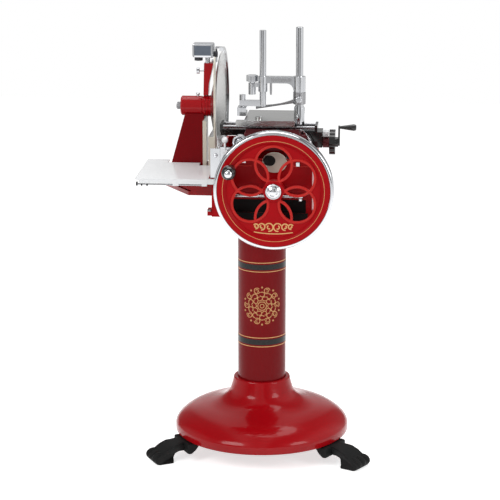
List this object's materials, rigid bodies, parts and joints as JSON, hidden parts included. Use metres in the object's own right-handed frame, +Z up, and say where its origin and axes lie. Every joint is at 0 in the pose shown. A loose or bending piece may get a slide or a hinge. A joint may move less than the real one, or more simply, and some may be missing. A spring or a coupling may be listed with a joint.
{
  "type": "hand crank meat slicer",
  "caption": "Flywheel-driven meat slicer on a round cast pedestal, with a disc blade, sliding carriage, press post, sharpener and slice tray.",
  "frame": {"origin": "middle of the machine's bounding box, on the floor", "axes": "+Z up, +X to the operator's right along the blade shaft, +Y away from the operator"},
  "size_m": [0.7798, 0.7786, 1.462],
  "materials": {
    "red_enamel": "glossy enamel",
    "maroon_enamel": "glossy enamel",
    "chrome": "polished",
    "steel": "ground",
    "stainless": "satin",
    "white_enamel": "glossy enamel",
    "cast_iron": "black painted",
    "black_grip": "polished",
    "stone": "abrasive grit"
  },
  "bodies": {
    "stand": {"pedestal_base": "red_enamel", "foot_left": "cast_iron", "foot_right": "cast_iron", "foot_rear": "cast_iron", "pedestal_column": "red_enamel", "column_head": "red_enamel", "machine_base": "red_enamel", "front_rail": "chrome", "inspection_plate": "stainless", "side_arm": "red_enamel", "pillar": "red_enamel", "blade_housing": "red_enamel", "slice_deflector": "stainless", "lower_shield": "stainless", "blade_guard": "chrome", "guard_arm": "red_enamel", "carriage_rail_left": "steel", "carriage_rail_right": "steel", "drive_chain": "steel", "dial_bracket": "chrome"},
    "flywheel": {"flywheel": "red_enamel", "flywheel_ring": "chrome", "flywheel_cap": "chrome", "flywheel_shaft": "steel", "grip_pin": "chrome", "driving_bevel_gear": "steel"},
    "flywheel_grip": {"flywheel_grip": "black_grip"},
    "cross_shaft": {"cross_shaft": "steel", "driven_bevel_gear": "steel", "carriage_crank": "steel", "drive_sprocket": "steel"},
    "connecting_rod": {"connecting_rod": "steel"},
    "blade": {"blade": "stainless", "blade_shaft": "steel", "blade_sprocket": "steel"},
    "cover_screw": {"cover_screw": "chrome"},
    "sharpener": {"sharpener": "chrome"},
    "grinding_stone": {"grinding_stone": "stone"},
    "honing_stone": {"honing_stone": "stone"},
    "slice_tray": {"slice_tray": "white_enamel"},
    "thickness_dial": {"thickness_dial": "chrome"},
    "gauge_plate": {"gauge_plate": "stainless"},
    "ball_lever": {"ball_lever": "chrome"},
    "carriage": {"carriage": "maroon_enamel", "feed_beam": "cast_iron", "slide_rod_front": "chrome", "slide_rod_rear": "chrome", "feed_boss": "maroon_enamel"},
    "table_lock_knob": {"table_lock_knob": "chrome"},
    "feed_screw": {"feed_screw": "steel", "feed_handwheel": "black_grip"},
    "feed_grip": {"feed_grip": "black_grip"},
    "table": {"meat_table": "stainless", "table_slide": "steel", "table_post": "chrome"},
    "press_head": {"press_head": "chrome"},
    "press_rod": {"press_rod": "chrome"},
    "press_knob": {"press_knob": "chrome"},
    "clamp_arm": {"clamp_arm": "chrome"},
    "clamp_knob": {"clamp_knob": "chrome"}
  },
  "joints": [
    {"name": "flywheel_spin", "type": "hinge", "parent": "stand", "child": "flywheel", "pos_m": [0.06909, -0.31103, 0.966], "axis": [0, 1, 0], "continuous": true},
    {"name": "flywheel_grip_spin", "type": "hinge", "parent": "flywheel", "child": "flywheel_grip", "pos_m": [-0.0699, -0.31133, 1.03682], "axis": [0, 1, 0], "continuous": true},
    {"name": "cross_shaft_spin", "type": "hinge", "parent": "stand", "child": "cross_shaft", "pos_m": [0.12709, 0.07297, 0.966], "axis": [1, 0, 0], "continuous": true},
    {"name": "rod_swing", "type": "hinge", "parent": "cross_shaft", "child": "connecting_rod", "pos_m": [0.14009, 0.07297, 1.041], "axis": [1, 0, 0], "continuous": true},
    {"name": "blade_spin", "type": "hinge", "parent": "stand", "child": "blade", "pos_m": [-0.16741, 0.07297, 1.177], "axis": [1, 0, 0], "continuous": true},
    {"name": "cover_screw_turn", "type": "hinge", "parent": "stand", "child": "cover_screw", "pos_m": [-0.19641, 0.07397, 1.296], "axis": [1, 0, 0], "range_deg": [0, 360]},
    {"name": "sharpener_push", "type": "slide", "parent": "stand", "child": "sharpener", "axis": [1, 0, 0], "range_m": [0, 0.005]},
    {"name": "grinding_stone_spin", "type": "hinge", "parent": "sharpener", "child": "grinding_stone", "pos_m": [-0.21191, 0.05597, 1.346], "axis": [0, 0, 1], "continuous": true},
    {"name": "honing_stone_spin", "type": "hinge", "parent": "sharpener", "child": "honing_stone", "pos_m": [-0.15891, 0.05597, 1.356], "axis": [1, 0, 0], "continuous": true},
    {"name": "tray_lift", "type": "slide", "parent": "stand", "child": "slice_tray", "axis": [0, 0, 1], "range_m": [0, 0.05]},
    {"name": "dial_turn", "type": "hinge", "parent": "stand", "child": "thickness_dial", "pos_m": [-0.04491, -0.24003, 1.116], "axis": [0, 1, 0], "range_deg": [0, 300]},
    {"name": "gauge_slide", "type": "slide", "parent": "stand", "child": "gauge_plate", "axis": [1, 0, 0], "range_m": [-0.003, 0]},
    {"name": "lever_swing", "type": "hinge", "parent": "stand", "child": "ball_lever", "pos_m": [-0.09391, -0.24003, 1.082], "axis": [0, 1, 0], "range_deg": [-50, 0]},
    {"name": "carriage_slide", "type": "slide", "parent": "stand", "child": "carriage", "axis": [0, 1, 0], "range_m": [-0.075, 0.075]},
    {"name": "table_lock_turn", "type": "hinge", "parent": "carriage", "child": "table_lock_knob", "pos_m": [0.06909, -0.10303, 1.125], "axis": [0, 1, 0], "range_deg": [0, 360]},
    {"name": "feed_screw_turn", "type": "hinge", "parent": "carriage", "child": "feed_screw", "pos_m": [0.21309, -0.02703, 1.078], "axis": [1, 0, 0], "range_deg": [-1188.01, 1584.01]},
    {"name": "feed_grip_spin", "type": "hinge", "parent": "feed_screw", "child": "feed_grip", "pos_m": [0.27119, -0.02703, 1.128], "axis": [1, 0, 0], "continuous": true},
    {"name": "table_feed", "type": "slide", "parent": "carriage", "child": "table", "axis": [1, 0, 0], "range_m": [-0.044, 0.033]},
    {"name": "press_head_slide", "type": "slide", "parent": "table", "child": "press_head", "axis": [0, 0, 1], "range_m": [0, 0.14]},
    {"name": "press_rod_slide", "type": "slide", "parent": "press_head", "child": "press_rod", "axis": [0, 0, 1], "range_m": [0, 0.018]},
    {"name": "press_knob_turn", "type": "hinge", "parent": "press_head", "child": "press_knob", "pos_m": [-0.02391, -0.02703, 1.2743], "axis": [0, 0, 1], "range_deg": [0, 360]},
    {"name": "clamp_swing", "type": "hinge", "parent": "table", "child": "clamp_arm", "pos_m": [0.13409, -0.02703, 1.2055], "axis": [0, 0, 1], "range_deg": [-60, 0]},
    {"name": "clamp_knob_turn", "type": "hinge", "parent": "clamp_arm", "child": "clamp_knob", "pos_m": [0.13409, -0.04803, 1.22525], "axis": [0, 1, 0], "range_deg": [0, 360]}
  ],
  "couplings": [
    {"joint": "cross_shaft_spin", "follows": "flywheel_spin", "ratio": 1},
    {"joint": "rod_swing", "follows": "flywheel_spin", "ratio": -1},
    {"joint": "blade_spin", "follows": "flywheel_spin", "ratio": 2.4},
    {"joint": "gauge_slide", "follows": "dial_turn", "m_per_rad": -0.00057296},
    {"joint": "feed_screw_turn", "follows": "table_feed", "rad_per_m": -628.32}
  ]
}
